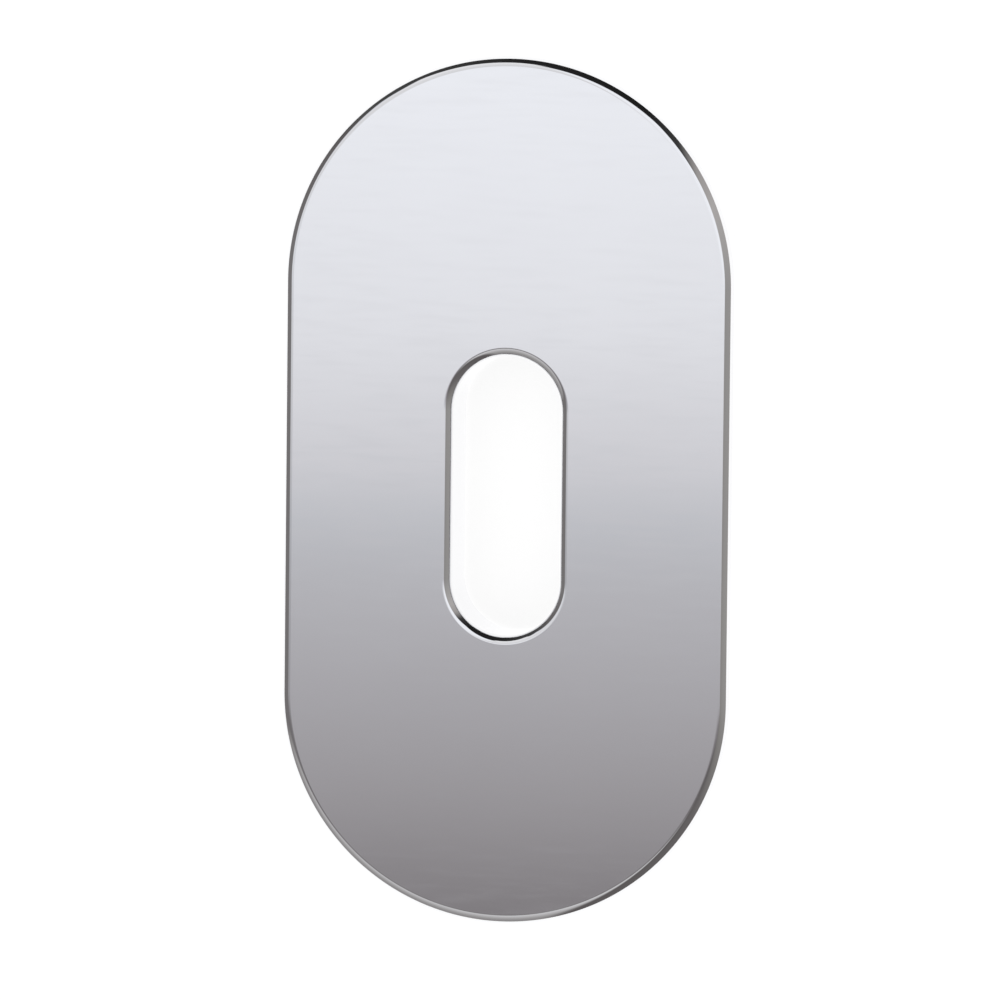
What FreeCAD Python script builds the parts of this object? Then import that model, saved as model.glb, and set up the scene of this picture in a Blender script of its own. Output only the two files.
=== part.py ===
import FreeCAD, Part
import os

# Keyhole escutcheon: one flat polished plate with full-round ends and a key slot of the same form.
# Millimetres. It lies on its flat back: +Z out of the front face, +Y along the plate to its head,
# origin in the middle of the back.

# Driving dimensions of the plate
plate_length = 60.0
plate_width = 31.5
plate_thickness = 5.0

# Key slot, straight through, its middle a little nearer to the plate's foot than to its head
slot_length = 19.3
slot_width = 7.6
slot_drop = 0.3

# Edge finish: rounded and polished in front, just broken at the back
front_edge_radius = 0.7
slot_mouth_radius = 0.6
back_edge_break = 0.2

# The slot's cutter passes both faces by this much, so that the cut is clean
cutter_overrun = 1.0

# A rounding takes no more than this share of the wall that it is made in
rounding_share = 0.9

# Points nearer to an outline than this lie on it
on_outline = 0.001


def obround(length, width, height, drop=0):
    """Closed outline with straight sides and half-round ends, its middle moved footward by the drop."""
    long_size, short_size = max(length, width), min(length, width)
    radius = short_size / 2
    reach = (long_size - short_size) / 2
    if reach < on_outline:
        return Part.Wire(Part.makeCircle(radius, FreeCAD.Vector(0, -drop, height)))
    right_foot = FreeCAD.Vector(radius, -reach, height)
    right_head = FreeCAD.Vector(radius, reach, height)
    head = FreeCAD.Vector(0, reach + radius, height)
    left_head = FreeCAD.Vector(-radius, reach, height)
    left_foot = FreeCAD.Vector(-radius, -reach, height)
    foot = FreeCAD.Vector(0, -reach - radius, height)
    outline = Part.Wire([
        Part.LineSegment(right_foot, right_head).toShape(),
        Part.Arc(right_head, head, left_head).toShape(),
        Part.LineSegment(left_head, left_foot).toShape(),
        Part.Arc(left_foot, foot, right_foot).toShape(),
    ])
    if width > length:
        outline.rotate(FreeCAD.Vector(0, 0, 0), FreeCAD.Vector(0, 0, 1), 90)
    outline.translate(FreeCAD.Vector(0, -drop, 0))
    return outline


def prism(length, width, low, high, drop=0):
    """Upright solid on an obround outline, from one height to another."""
    return Part.Face(obround(length, width, low, drop)).extrude(FreeCAD.Vector(0, 0, high - low))


def edges_along(solid, outline):
    """Edges of the solid that run along an outline."""
    return [
        edge for edge in solid.Edges
        if all(Part.Vertex(point).distToShape(outline)[0] < on_outline for point in edge.discretize(5))
    ]


def front_rounding(radius):
    """Radius of a front edge, within the wall that its fillet and the back's break share."""
    return min(radius, rounding_share * (plate_thickness - back_edge_break))


def flat_plate():
    """Plate with its key slot cut, all edges still sharp."""
    blank = prism(plate_length, plate_width, 0, plate_thickness)
    top = plate_thickness + cutter_overrun
    return blank.cut(prism(slot_length, slot_width, -cutter_overrun, top, slot_drop))


def finish_edges(plate):
    """Roll the front edges over into the side walls and break the back ones."""
    rim = obround(plate_length, plate_width, plate_thickness)
    plate = plate.makeFillet(front_rounding(front_edge_radius), edges_along(plate, rim))
    mouth = obround(slot_length, slot_width, plate_thickness, slot_drop)
    plate = plate.makeFillet(front_rounding(slot_mouth_radius), edges_along(plate, mouth))
    back_rim = obround(plate_length, plate_width, 0)
    back_mouth = obround(slot_length, slot_width, 0, slot_drop)
    back_edges = edges_along(plate, back_rim) + edges_along(plate, back_mouth)
    return plate.makeChamfer(back_edge_break, back_edges)


def escutcheon_plate():
    """The whole escutcheon, one solid."""
    return finish_edges(flat_plate()).Solids[0]


os.makedirs("parts", exist_ok=True)
piece = escutcheon_plate()
piece.exportStep("parts/escutcheon_plate.step")
box = piece.optimalBoundingBox(False, False)
print(f"escutcheon_plate: {box.XLength:.2f} x {box.YLength:.2f} x {box.ZLength:.2f} mm,",
      f"volume {piece.Volume:.1f} mm3, valid {piece.isValid()}")
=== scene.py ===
import logging
import math
from dataclasses import dataclass
from enum import Enum
from typing import Any, Optional, Union

import bmesh
import bpy
from mathutils import Matrix, Vector


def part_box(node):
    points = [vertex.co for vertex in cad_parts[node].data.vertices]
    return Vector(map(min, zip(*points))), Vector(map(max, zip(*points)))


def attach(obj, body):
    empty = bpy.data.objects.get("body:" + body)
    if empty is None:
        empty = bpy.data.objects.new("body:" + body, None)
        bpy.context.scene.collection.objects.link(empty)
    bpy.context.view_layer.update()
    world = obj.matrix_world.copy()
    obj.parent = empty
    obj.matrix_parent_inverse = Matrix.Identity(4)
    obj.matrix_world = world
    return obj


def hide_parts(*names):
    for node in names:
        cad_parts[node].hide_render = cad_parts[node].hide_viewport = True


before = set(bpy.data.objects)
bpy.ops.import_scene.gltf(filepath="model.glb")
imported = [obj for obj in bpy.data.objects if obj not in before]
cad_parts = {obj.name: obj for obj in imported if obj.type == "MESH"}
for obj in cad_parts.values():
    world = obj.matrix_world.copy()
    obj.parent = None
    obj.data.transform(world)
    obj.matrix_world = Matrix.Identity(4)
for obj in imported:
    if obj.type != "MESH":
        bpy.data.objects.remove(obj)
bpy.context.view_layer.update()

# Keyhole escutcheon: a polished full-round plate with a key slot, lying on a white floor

LOG = logging.getLogger("escutcheon")

Colour = tuple[float, float, float]
Term = Union[bpy.types.NodeSocket, float, tuple[float, ...]]

WHITE: Colour = (1.0, 1.0, 1.0)
BLACK: Colour = (0.0, 0.0, 0.0)

# Numbered points of the plate's half section, from the back up, and half the way to the next one
WALL_FOOT = 1.0
WALL_TOP = 2.0
ROLL_START = 3.0
HALF_WAY = 0.5

PLATE_NODE = "escutcheon_plate"


class Seen(Enum):
    """Which rays meet a stage object."""

    ALWAYS = "always"
    IN_REFLECTIONS = "in_reflections"


def opaque(colour: Colour) -> tuple[float, float, float, float]:
    """Colour with full alpha, as colour sockets want it."""
    return (*colour, 1.0)


class NodeDesk:
    """Writes the nodes of one tree and wires them as they are made."""

    def __init__(self, tree: bpy.types.NodeTree) -> None:
        """Start on an empty tree.

        Args:
            tree: The node tree to write on.
        """
        self.tree = tree
        tree.nodes.clear()

    def add(
        self, kind: str, terms: Optional[dict[Union[str, int], Term]] = None, **settings: Any
    ) -> bpy.types.Node:
        """Add a node, set it and feed its inputs.

        Args:
            kind: The node's type name.
            terms: Input name or number to a value or another node's output.
            **settings: Properties of the node itself.

        Returns:
            The new node.
        """
        node = self.tree.nodes.new(kind)
        for name, value in settings.items():
            setattr(node, name, value)
        for key, term in (terms or {}).items():
            if isinstance(term, bpy.types.NodeSocket):
                self.tree.links.new(term, node.inputs[key])
            else:
                node.inputs[key].default_value = term
        return node

    def calc(self, operation: str, *terms: Term) -> bpy.types.NodeSocket:
        """One Math node.

        Args:
            operation: Name of the operation.
            *terms: Its operands in order.

        Returns:
            The result.
        """
        return self.add("ShaderNodeMath", dict(enumerate(terms)), operation=operation).outputs[0]


class ShaderDesk(NodeDesk):
    """Desk for the nodes of a material or a world."""

    def place(self) -> tuple[bpy.types.NodeSocket, ...]:
        """X, Y and Z of the Object coordinates."""
        where = self.add("ShaderNodeTexCoord").outputs["Object"]
        return tuple(self.add("ShaderNodeSeparateXYZ", {0: where}).outputs)

    def turn(self, x: Term, y: Term) -> bpy.types.NodeSocket:
        """Bearing round the middle as a share of a full turn.

        Args:
            x: X of the place.
            y: Y of the place.

        Returns:
            0 to 1, from +X over +Y.
        """
        angle = self.calc("ARCTAN2", y, x)
        return self.calc("FRACT", self.calc("DIVIDE", angle, 2 * math.pi))

    def window(self, value: Term, span: tuple[float, float], soft: float) -> bpy.types.NodeSocket:
        """1 inside a span, 0 outside, with soft ends.

        Args:
            value: What is read.
            span: The span's ends.
            soft: Half of the width of each soft end.

        Returns:
            The share inside.
        """
        low, high = span
        opened = self.fade(value, low - soft, low + soft)
        closed = self.fade(value, high - soft, high + soft, 1.0, 0.0)
        return self.calc("MULTIPLY", opened, closed)

    def fade(
        self, value: Term, low: float, high: float, start: float = 0.0, end: float = 1.0
    ) -> bpy.types.NodeSocket:
        """Smooth clamped step of a value.

        Args:
            value: What is read.
            low: Where the step starts.
            high: Where it ends.
            start: Result below low.
            end: Result above high.

        Returns:
            The stepped value.
        """
        terms = {"Value": value, "From Min": low, "From Max": high, "To Min": start, "To Max": end}
        return self.add("ShaderNodeMapRange", terms, interpolation_type="SMOOTHSTEP").outputs["Result"]

    def blend(self, share: Term, first: Term, second: Term) -> bpy.types.NodeSocket:
        """Mix two colours. A Mix node has them on sockets 6 and 7, and its share on 0.

        Args:
            share: How much of the second colour.
            first: Colour at share 0.
            second: Colour at share 1.

        Returns:
            The mixed colour.
        """
        node = self.add("ShaderNodeMix", data_type="RGBA")
        for key, term in ((0, share), (6, first), (7, second)):
            if isinstance(term, bpy.types.NodeSocket):
                self.tree.links.new(term, node.inputs[key])
            else:
                node.inputs[key].default_value = opaque(term) if isinstance(term, tuple) else term
        return node.outputs[2]

    def ramp(self, value: Term, stops: tuple[tuple[float, Colour], ...]) -> bpy.types.NodeSocket:
        """Colour ramp, straight from stop to stop.

        Args:
            value: Position on the ramp, 0 to 1.
            stops: Position and colour of each stop.

        Returns:
            The ramp's colour.
        """
        node = self.add("ShaderNodeValToRGB", {"Fac": value})
        ramp = node.color_ramp
        ramp.interpolation = "LINEAR"
        while len(ramp.elements) < len(stops):
            ramp.elements.new(1.0)
        for element, (position, colour) in zip(ramp.elements, stops):
            element.position = position
            element.color = opaque(colour)
        return node.outputs["Color"]


@dataclass(frozen=True)
class PolishedChrome:
    """Bright plated metal: nearly clear reflections, faint buffing marks and a little haze."""

    name: str = "polished_chrome"
    light_tone: Colour = (0.80, 0.80, 0.81)
    deep_tone: Colour = (0.765, 0.765, 0.775)
    clear_roughness: float = 0.045
    hazed_roughness: float = 0.085
    haze_span: tuple[float, float] = (0.35, 0.75)
    cloud_scale: float = 70.0
    cloud_detail: float = 3.0
    buff_scale: float = 260.0
    buff_detail: float = 4.0
    buff_stretch: float = 9.0
    buff_angle: float = math.radians(68)
    ripple_scale: float = 140.0
    ripple_detail: float = 1.0
    buff_height: float = 2e-7
    ripple_height: float = 1.5e-6
    bump_strength: float = 0.35

    def material(self) -> bpy.types.Material:
        """Make the finish.

        Returns:
            The material, all of it on Object coordinates.
        """
        made = bpy.data.materials.new(self.name)
        made.use_nodes = True
        desk = ShaderDesk(made.node_tree)
        place = desk.add("ShaderNodeTexCoord").outputs["Object"]
        turned = desk.add(
            "ShaderNodeMapping",
            {
                "Vector": place,
                "Rotation": (0.0, 0.0, self.buff_angle),
                "Scale": (1.0, self.buff_stretch, 1.0),
            },
        )
        clouds, buffing, ripple = (
            desk.add("ShaderNodeTexNoise", {"Vector": where, "Scale": scale, "Detail": detail}).outputs["Fac"]
            for where, scale, detail in (
                (place, self.cloud_scale, self.cloud_detail),
                (turned.outputs[0], self.buff_scale, self.buff_detail),
                (place, self.ripple_scale, self.ripple_detail),
            )
        )
        tone = desk.blend(clouds, self.deep_tone, self.light_tone)
        haze = desk.fade(buffing, *self.haze_span, self.clear_roughness, self.hazed_roughness)
        marks = desk.calc("MULTIPLY", buffing, self.buff_height)
        waves = desk.calc("MULTIPLY", ripple, self.ripple_height)
        relief = desk.calc("ADD", marks, waves)
        bump = desk.add("ShaderNodeBump", {"Height": relief, "Strength": self.bump_strength, "Distance": 1.0})
        surface = desk.add(
            "ShaderNodeBsdfPrincipled",
            {"Base Color": tone, "Metallic": 1.0, "Roughness": haze, "Normal": bump.outputs["Normal"]},
        )
        desk.add("ShaderNodeOutputMaterial", {"Surface": surface.outputs["BSDF"]})
        return made


class FieldDesk(NodeDesk):
    """Desk for the fields of a Geometry Nodes tree with named inputs."""

    def __init__(self, name: str) -> None:
        """Start an empty tree with a geometry output.

        Args:
            name: The tree's name.
        """
        super().__init__(bpy.data.node_groups.new(name, "GeometryNodeTree"))
        self.tree.interface.new_socket("Geometry", in_out="OUTPUT", socket_type="NodeSocketGeometry")
        self.sizes: dict[str, tuple[str, Any]] = {}

    def name_input(self, name: str, kind: str, value: Any) -> None:
        """Declare a named input of the tree.

        Args:
            name: What a person reads on the input.
            kind: Socket type.
            value: What the modifier sets it to.
        """
        socket = self.tree.interface.new_socket(name, in_out="INPUT", socket_type=kind)
        self.sizes[name] = (socket.identifier, value)

    def run(self, value: Term, start: Term, end: Term, reach: float = 1.0) -> bpy.types.NodeSocket:
        """Clamped straight run of a value.

        Args:
            value: What is read.
            start: Where the result leaves 0.
            end: Where it reaches its end.
            reach: The result's end.

        Returns:
            The result field.
        """
        terms = {"Value": value, "From Min": start, "From Max": end, "To Min": 0.0, "To Max": reach}
        return self.add("ShaderNodeMapRange", terms).outputs["Result"]

    def pick(self, choice: Term, no: Term, yes: Term) -> bpy.types.NodeSocket:
        """One of two numbers. A Mix node has them on sockets 2 and 3.

        Args:
            choice: 0 or 1.
            no: Result at 0.
            yes: Result at 1.

        Returns:
            The picked field.
        """
        node = self.add("ShaderNodeMix", {0: choice, 2: no, 3: yes}, data_type="FLOAT")
        return node.outputs[0]


@dataclass
class EscutcheonPlate:
    """The one piece: its sizes in metres, its closed mesh and its finish."""

    length: float
    width: float
    thickness: float
    slot_length: float = 0.0193
    slot_width: float = 0.0076
    slot_drop: float = 0.0003
    front_edge_radius: float = 0.0007
    slot_mouth_radius: float = 0.0006
    back_edge_break: float = 0.0002
    holding_gap: float = 0.00002
    arc_steps: int = 128
    side_steps: int = 8
    rolling_steps: int = 20
    sharp_from: float = math.radians(30)
    seam_gap: float = 1e-7

    @classmethod
    def from_frame(cls, node: str) -> "EscutcheonPlate":
        """Take the outer sizes from the frame.

        Args:
            node: Name of the frame's node.

        Returns:
            The plate, at its node's size.
        """
        low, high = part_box(node)
        size = high - low
        return cls(length=size.y, width=size.x, thickness=size.z)

    def tree(self, finish: bpy.types.Material) -> FieldDesk:
        """Write the plate's rule: one section, led round an outline that changes from rim to slot.

        The mesh is a grid closed both ways. Its columns follow the outline. Its rows follow the section:
        up the outer wall, over the rolled edge, across the face, over the slot's mouth, down the slot's
        wall and back.

        Args:
            finish: Material of the whole plate.

        Returns:
            The desk that holds the tree and its named inputs.
        """
        desk = FieldDesk("plate_rule")
        for name, value in {
            "Length": self.length,
            "Width": self.width,
            "Thickness": self.thickness,
            "Slot Length": self.slot_length,
            "Slot Width": self.slot_width,
            "Slot Drop": self.slot_drop,
            "Front Edge Radius": self.front_edge_radius,
            "Slot Mouth Radius": self.slot_mouth_radius,
            "Back Edge Break": self.back_edge_break,
            "Holding Gap": self.holding_gap,
        }.items():
            desk.name_input(name, "NodeSocketFloat", value)
        for name, count in {
            "Arc Steps": self.arc_steps,
            "Side Steps": self.side_steps,
            "Rolling Steps": self.rolling_steps,
        }.items():
            desk.name_input(name, "NodeSocketInt", count)
        desk.name_input("Finish", "NodeSocketMaterial", finish)
        given = desk.add("NodeGroupInput").outputs

        arc, side, rolling = given["Arc Steps"], given["Side Steps"], given["Rolling Steps"]
        half_round = desk.calc("ADD", arc, side)
        columns = desk.calc("MULTIPLY_ADD", half_round, 2.0, 1.0)
        section_rows = desk.calc("MULTIPLY_ADD", rolling, 2.0, 2.0 * (ROLL_START + 2.0))
        rows = desk.calc("ADD", section_rows, 1.0)
        grid = desk.add("GeometryNodeMeshGrid", {"Vertices X": columns, "Vertices Y": rows})
        index = desk.add("GeometryNodeInputIndex").outputs[0]
        column = desk.calc("FLOOR", desk.calc("DIVIDE", desk.calc("ADD", index, HALF_WAY), rows))
        row = desk.calc("SUBTRACT", index, desk.calc("MULTIPLY", column, rows))
        last_row = desk.calc("SUBTRACT", section_rows, HALF_WAY)
        row = desk.calc("MULTIPLY", row, desk.calc("LESS_THAN", row, last_row))

        in_slot = desk.calc("GREATER_THAN", row, desk.calc("ADD", rolling, ROLL_START + 1.0 + HALF_WAY))
        mirrored = desk.calc("SUBTRACT", desk.calc("SUBTRACT", section_rows, 1.0), row)
        step = desk.pick(in_slot, row, mirrored)
        height, inset = self.section(desk, given, step, in_slot)
        across = self.outline(desk, given, column, in_slot, inset)

        point = desk.add("ShaderNodeCombineXYZ", {"X": across[0], "Y": across[1], "Z": height}).outputs[0]
        shaped = desk.add("GeometryNodeSetPosition", {"Geometry": grid.outputs["Mesh"], "Position": point})
        closed = desk.add(
            "GeometryNodeMergeByDistance", {"Geometry": shaped.outputs[0], "Distance": self.seam_gap}
        )
        smooth = desk.add("GeometryNodeSetShadeSmooth", {"Geometry": closed.outputs[0], "Shade Smooth": True})
        bend = desk.add("GeometryNodeInputMeshEdgeAngle").outputs["Unsigned Angle"]
        sharp = desk.calc("GREATER_THAN", bend, self.sharp_from)
        edged = desk.add(
            "GeometryNodeStoreNamedAttribute",
            {"Geometry": smooth.outputs[0], "Name": "sharp_edge", "Value": sharp},
            data_type="BOOLEAN", domain="EDGE",
        )
        whole = desk.add("GeometryNodeRealizeInstances", {"Geometry": edged.outputs[0]})
        dressed = desk.add(
            "GeometryNodeSetMaterial", {"Geometry": whole.outputs[0], "Material": given["Finish"]}
        )
        desk.add("NodeGroupOutput", {"Geometry": dressed.outputs[0]})
        return desk

    def section(
        self, desk: FieldDesk, given: Any, step: Term, in_slot: Term
    ) -> tuple[bpy.types.NodeSocket, bpy.types.NodeSocket]:
        """Half of the section, from the back edge's break to the face.

        Args:
            desk: The tree's desk.
            given: The tree's inputs.
            step: Number of the point along the half section.
            in_slot: 1 on the slot's side, 0 on the rim's.

        Returns:
            Each point's height, and its inset into the metal from the side wall.
        """
        rolling, gap = given["Rolling Steps"], given["Holding Gap"]
        radius = desk.pick(in_slot, given["Front Edge Radius"], given["Slot Mouth Radius"])
        turn = desk.run(step, ROLL_START, desk.calc("ADD", rolling, ROLL_START), math.pi / 2)
        drop = desk.calc("SUBTRACT", given["Thickness"], radius)
        rolled = desk.calc("MULTIPLY_ADD", radius, desk.calc("SINE", turn), drop)
        on_wall = desk.calc("LESS_THAN", step, WALL_TOP + HALF_WAY)
        top = desk.calc("SUBTRACT", rolled, desk.calc("MULTIPLY", on_wall, gap))
        foot = desk.calc("MULTIPLY", step, given["Back Edge Break"])
        height = desk.pick(desk.calc("LESS_THAN", step, WALL_FOOT + HALF_WAY), top, foot)
        inset = desk.calc("MULTIPLY", radius, desk.calc("SUBTRACT", 1.0, desk.calc("COSINE", turn)))
        on_back = desk.calc("LESS_THAN", step, HALF_WAY)
        inset = desk.calc("MULTIPLY_ADD", on_back, given["Back Edge Break"], inset)
        on_face = desk.calc("GREATER_THAN", step, desk.calc("ADD", rolling, ROLL_START + HALF_WAY))
        return height, desk.calc("MULTIPLY_ADD", on_face, gap, inset)

    def outline(
        self, desk: FieldDesk, given: Any, column: Term, in_slot: Term, inset: Term
    ) -> tuple[bpy.types.NodeSocket, bpy.types.NodeSocket]:
        """Full-round outline: up one side, round the head, down the other side, round the foot.

        Args:
            desk: The tree's desk.
            given: The tree's inputs.
            column: Number of the point along the outline.
            in_slot: 1 on the slot's side, 0 on the rim's.
            inset: Distance into the metal from the side wall.

        Returns:
            Each point's X and Y.
        """
        arc, side = given["Arc Steps"], given["Side Steps"]
        head_end = desk.calc("ADD", side, arc)
        foot_start = desk.calc("ADD", head_end, side)
        foot_end = desk.calc("ADD", foot_start, arc)
        turned = desk.calc("ADD", desk.run(column, side, head_end), desk.run(column, foot_start, foot_end))
        angle = desk.calc("MULTIPLY", turned, math.pi)
        risen = desk.calc("SUBTRACT", desk.run(column, 0.0, side), desk.run(column, head_end, foot_start))

        rim_round = desk.calc("SUBTRACT", desk.calc("DIVIDE", given["Width"], 2.0), inset)
        slot_round = desk.calc("ADD", desk.calc("DIVIDE", given["Slot Width"], 2.0), inset)
        rounding = desk.pick(in_slot, rim_round, slot_round)
        rim_straight = desk.calc("SUBTRACT", given["Length"], given["Width"])
        slot_straight = desk.calc("SUBTRACT", given["Slot Length"], given["Slot Width"])
        straight = desk.pick(in_slot, rim_straight, slot_straight)
        centre = desk.calc("MULTIPLY", straight, desk.calc("SUBTRACT", risen, 0.5))
        centre = desk.calc("SUBTRACT", centre, desk.calc("MULTIPLY", in_slot, given["Slot Drop"]))
        x = desk.calc("MULTIPLY", rounding, desk.calc("COSINE", angle))
        return x, desk.calc("MULTIPLY_ADD", rounding, desk.calc("SINE", angle), centre)

    def build(self, finish: bpy.types.Material) -> bpy.types.Object:
        """Make the plate as one closed mesh.

        Args:
            finish: Its material.

        Returns:
            The finished object, with nothing left live on it.
        """
        plate = bpy.data.objects.new("polished_plate", bpy.data.meshes.new("polished_plate"))
        bpy.context.scene.collection.objects.link(plate)
        desk = self.tree(finish)
        modifier = plate.modifiers.new("plate_rule", "NODES")
        modifier.node_group = desk.tree
        for identifier, value in desk.sizes.values():
            modifier[identifier] = value
        evaluated = plate.evaluated_get(bpy.context.evaluated_depsgraph_get())
        mesh = bpy.data.meshes.new_from_object(evaluated)
        plate.modifiers.remove(modifier)
        plate.data = mesh
        return plate

    def dress(self, finish: bpy.types.Material) -> bpy.types.Object:
        """Build the plate and put it in its node's place.

        Args:
            finish: Its material.

        Returns:
            The plate, riding on the frame.
        """
        plate = self.build(finish)
        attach(plate, "root")
        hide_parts(PLATE_NODE)
        return plate


@dataclass(frozen=True)
class PhotoCamera:
    """The photograph's view: almost square on, a little from the plate's upper right."""

    pixels: float = 1000.0
    pixels_per_metre: float = 14538.0
    face_pixel: tuple[float, float] = (505.0, 492.1)
    tilt: float = math.radians(12.87)
    tilt_towards: float = math.radians(22.3)
    roll: float = math.radians(0.6)
    distance: float = 0.7
    sensor: float = 36.0
    clip: tuple[float, float] = (0.01, 10.0)

    def make(self, face_middle: Vector) -> bpy.types.Object:
        """Make the camera and set it as the scene's.

        Args:
            face_middle: Middle of the plate's face.

        Returns:
            The camera.
        """
        side = math.sin(self.tilt)
        towards = self.tilt_towards
        back = Vector((side * math.cos(towards), side * math.sin(towards), math.cos(self.tilt)))
        right = Vector((0.0, 1.0, 0.0)).cross(back).normalized()
        up = back.cross(right)
        turn = Matrix.Rotation(self.roll, 3, back)
        right, up = turn @ right, turn @ up
        off_right = (self.face_pixel[0] - self.pixels / 2) / self.pixels_per_metre
        off_up = (self.pixels / 2 - self.face_pixel[1]) / self.pixels_per_metre
        aim = face_middle - right * off_right - up * off_up
        data = bpy.data.cameras.new("photo_camera")
        data.sensor_width = self.sensor
        data.lens = self.sensor * self.distance * self.pixels_per_metre / self.pixels
        data.clip_start, data.clip_end = self.clip
        camera = bpy.data.objects.new("photo_camera", data)
        basis = Matrix((right, up, back)).transposed()
        camera.matrix_world = Matrix.LocRotScale(aim + back * self.distance, basis.to_quaternion(), None)
        bpy.context.scene.collection.objects.link(camera)
        bpy.context.scene.camera = camera
        return camera


@dataclass(frozen=True)
class SweepWhite:
    """White studio floor: plain white to the eye and in the metal, with the plate's shadow on it."""

    name: str = "sweep_white"
    paper: float = 0.25
    glow: float = 0.83
    glow_in_metal: float = 1.0

    def material(self) -> bpy.types.Material:
        """Make the floor's material.

        Returns:
            The material.
        """
        made = bpy.data.materials.new(self.name)
        made.use_nodes = True
        desk = ShaderDesk(made.node_tree)
        path = desk.add("ShaderNodeLightPath").outputs
        to_eye = desk.calc("MULTIPLY", path["Is Camera Ray"], self.glow)
        in_metal = desk.calc("MAXIMUM", path["Is Glossy Ray"], path["Is Transmission Ray"])
        strength = desk.calc("MULTIPLY_ADD", in_metal, self.glow_in_metal, to_eye)
        paper = desk.add("ShaderNodeBsdfDiffuse", {"Color": opaque((self.paper,) * 3)})
        glow = desk.add("ShaderNodeEmission", {"Strength": strength})
        both = desk.add("ShaderNodeAddShader", {0: paper.outputs[0], 1: glow.outputs[0]})
        desk.add("ShaderNodeOutputMaterial", {"Surface": both.outputs[0]})
        return made


@dataclass(frozen=True)
class RoomReflection:
    """What the metal sees: a graded panel overhead, a bright beam towards the head, and a dark room."""

    name: str = "room_reflection"
    panel_x: tuple[float, float] = (-0.60, 0.30)
    panel_y: tuple[float, float] = (-0.19, 0.50)
    panel_soft: float = 0.02
    side_from: float = -0.27
    side_share: float = 0.80
    grades: tuple[tuple[float, Colour], ...] = (
        (-0.155, (0.250, 0.235, 0.245)),
        (-0.134, (0.400, 0.385, 0.400)),
        (-0.100, (0.565, 0.560, 0.590)),
        (-0.086, (0.655, 0.670, 0.710)),
        (-0.082, (0.755, 0.750, 0.785)),
        (-0.055, (0.940, 0.950, 0.990)),
        (-0.012, (1.060, 1.080, 1.130)),
    )
    beam_x: tuple[float, float] = (-0.50, -0.11)
    beam_y: tuple[float, float] = (0.012, 0.62)
    beam_soft: float = 0.012
    beam: tuple[tuple[float, Colour], ...] = (
        (0.00, (0.80, 0.80, 0.82)),
        (0.30, (0.88, 0.88, 0.90)),
        (0.62, (1.00, 1.00, 1.02)),
    )
    room: tuple[tuple[float, Colour], ...] = (
        (0.0, (0.38, 0.37, 0.36)),
        (24.0, (0.50, 0.48, 0.47)),
        (36.0, (0.40, 0.38, 0.37)),
        (46.0, (0.05, 0.05, 0.05)),
        (60.0, (0.015, 0.015, 0.015)),
        (100.0, (0.02, 0.02, 0.02)),
        (138.0, (0.07, 0.07, 0.07)),
        (155.0, (0.15, 0.14, 0.14)),
        (180.0, (0.22, 0.21, 0.21)),
        (210.0, (0.17, 0.16, 0.16)),
        (235.0, (0.15, 0.14, 0.14)),
        (270.0, (0.12, 0.11, 0.11)),
        (315.0, (0.16, 0.15, 0.15)),
        (335.0, (0.25, 0.24, 0.23)),
        (360.0, (0.38, 0.37, 0.36)),
    )
    foot_y: tuple[float, float] = (-0.30, -0.20)
    foot_x: tuple[float, float] = (-0.05, 0.10)
    foot: tuple[tuple[float, Colour], ...] = (
        (0.00, (0.34, 0.33, 0.33)),
        (0.20, (0.31, 0.30, 0.30)),
        (0.48, (0.37, 0.36, 0.36)),
        (0.69, (0.47, 0.46, 0.46)),
        (0.85, (0.59, 0.58, 0.59)),
        (0.95, (0.72, 0.72, 0.73)),
    )

    def patch(
        self, desk: ShaderDesk, across: tuple[float, float], along: tuple[float, float], soft: float
    ) -> bpy.types.NodeSocket:
        """Oblong patch of the dome, as seen straight from above.

        Args:
            desk: The material's desk.
            across: Its ends in X.
            along: Its ends in Y.
            soft: Half of the width of its soft ends in Y.

        Returns:
            1 inside the patch, 0 outside.
        """
        x, y, _ = desk.place()
        return desk.calc("MULTIPLY", desk.window(x, across, self.panel_soft), desk.window(y, along, soft))

    def material(self) -> bpy.types.Material:
        """Make the room's glowing material, on its own Object coordinates.

        Returns:
            The material.
        """
        made = bpy.data.materials.new(self.name)
        made.use_nodes = True
        desk = ShaderDesk(made.node_tree)
        x, y, z = desk.place()
        low, high = self.grades[0][0], self.grades[-1][0]
        rise = desk.add("ShaderNodeMapRange", {"Value": y, "From Min": low, "From Max": high}).outputs[0]
        panel = desk.ramp(rise, tuple(((level - low) / (high - low), tone) for level, tone in self.grades))
        in_middle = desk.fade(x, self.side_from - self.panel_soft, self.side_from + self.panel_soft)
        at_side = desk.blend(self.side_share, BLACK, panel)
        panel = desk.blend(in_middle, at_side, panel)
        beam = desk.ramp(y, self.beam)

        room = desk.ramp(desk.turn(x, y), tuple((angle / 360.0, tone) for angle, tone in self.room))
        left, footward = desk.fade(x, *self.foot_x, 1.0, 0.0), desk.fade(y, *self.foot_y, 1.0, 0.0)
        room = desk.blend(desk.calc("MULTIPLY", left, footward), room, desk.ramp(z, self.foot))
        room = desk.blend(self.patch(desk, self.panel_x, self.panel_y, self.panel_soft), room, panel)
        room = desk.blend(self.patch(desk, self.beam_x, self.beam_y, self.beam_soft), room, beam)
        glow = desk.add("ShaderNodeEmission", {"Color": room})
        desk.add("ShaderNodeOutputMaterial", {"Surface": glow.outputs[0]})
        return made


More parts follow.
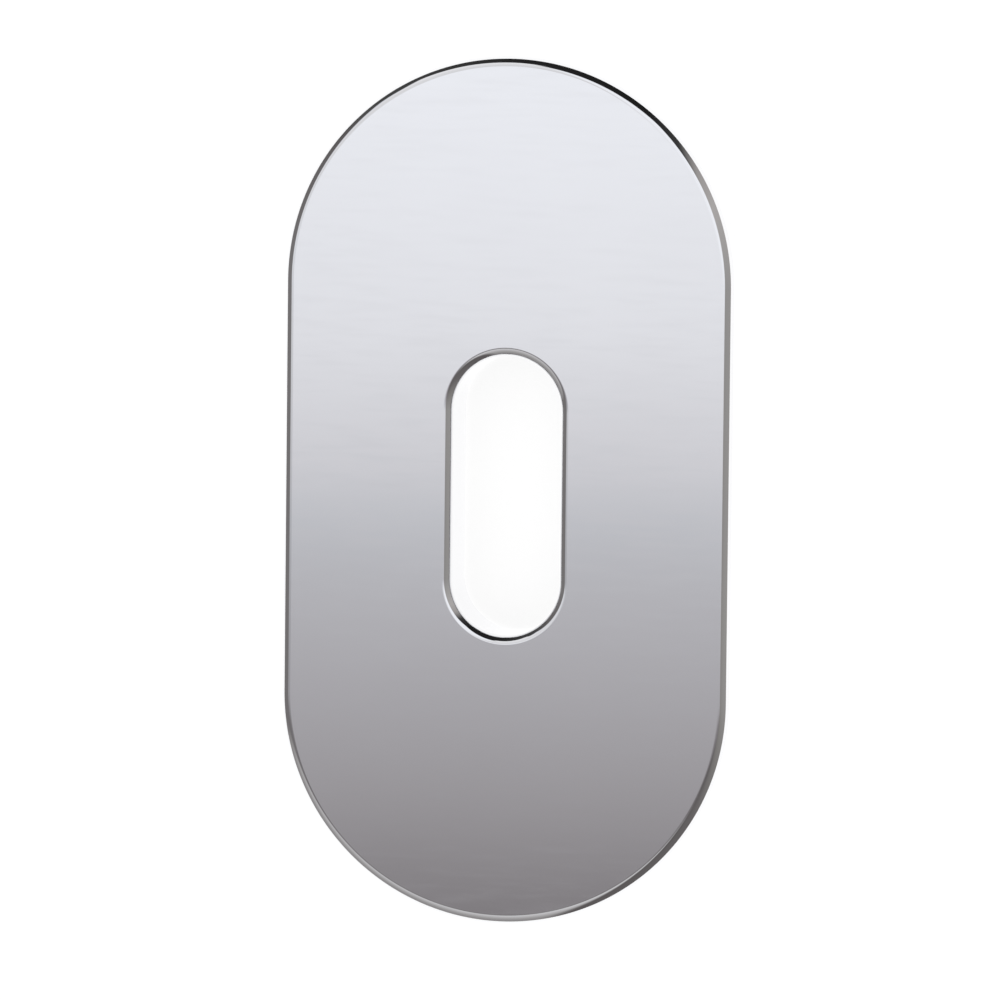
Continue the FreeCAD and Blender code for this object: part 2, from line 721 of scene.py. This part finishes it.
@dataclass
class Studio:
    """White floor, even light, and the room that only the metal sees, a metre away."""

    floor_reach: float = 4.0
    floor_cells: int = 4
    room_radius: float = 1.0
    room_columns: int = 128
    room_rows: int = 64
    below_floor: float = -1e-6
    sky_level: float = 1.0

    def show(
        self, name: str, form: bmesh.types.BMesh, finish: bpy.types.Material, seen: Seen
    ) -> bpy.types.Object:
        """Put a form on the stage.

        Args:
            name: The object's name.
            form: Its mesh, used up here.
            finish: Its material.
            seen: Which rays meet it.

        Returns:
            The object.
        """
        mesh = bpy.data.meshes.new(name)
        form.to_mesh(mesh)
        form.free()
        mesh.materials.append(finish)
        thing = bpy.data.objects.new(name, mesh)
        bpy.context.scene.collection.objects.link(thing)
        if seen is Seen.IN_REFLECTIONS:
            thing.visible_camera = thing.visible_diffuse = thing.visible_shadow = False
            thing.visible_transmission = thing.visible_volume_scatter = False
        return thing

    def floor(self) -> None:
        """Lay the floor."""
        form = bmesh.new()
        cells = self.floor_cells
        bmesh.ops.create_grid(form, x_segments=cells, y_segments=cells, size=self.floor_reach)
        self.show("floor", form, SweepWhite().material(), Seen.ALWAYS)

    def room(self) -> None:
        """Set up the half dome that stands for the room in the metal."""
        form = bmesh.new()
        bmesh.ops.create_uvsphere(
            form, u_segments=self.room_columns, v_segments=self.room_rows, radius=self.room_radius
        )
        low = [vertex for vertex in form.verts if vertex.co.z < self.below_floor]
        bmesh.ops.delete(form, geom=low, context="VERTS")
        self.show("room", form, RoomReflection().material(), Seen.IN_REFLECTIONS)

    def sky(self) -> None:
        """Light everything evenly from a white sky."""
        world = bpy.data.worlds.new("white_sky")
        world.use_nodes = True
        desk = ShaderDesk(world.node_tree)
        light = desk.add("ShaderNodeBackground", {"Color": opaque(WHITE), "Strength": self.sky_level})
        desk.add("ShaderNodeOutputWorld", {"Surface": light.outputs[0]})
        bpy.context.scene.world = world

    def build(self) -> None:
        """Set the whole stage."""
        self.floor()
        self.room()
        self.sky()
        bpy.context.scene.view_settings.view_transform = "Standard"


def main() -> None:
    """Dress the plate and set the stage."""
    logging.basicConfig(level=logging.INFO, format="%(name)s: %(message)s")
    plate = EscutcheonPlate.from_frame(PLATE_NODE)
    piece = plate.dress(PolishedChrome().material())
    LOG.info("%s: %d faces", piece.name, len(piece.data.polygons))
    Studio().build()
    PhotoCamera().make(Vector((0.0, 0.0, plate.thickness)))


if __name__ == "__main__":
    main()
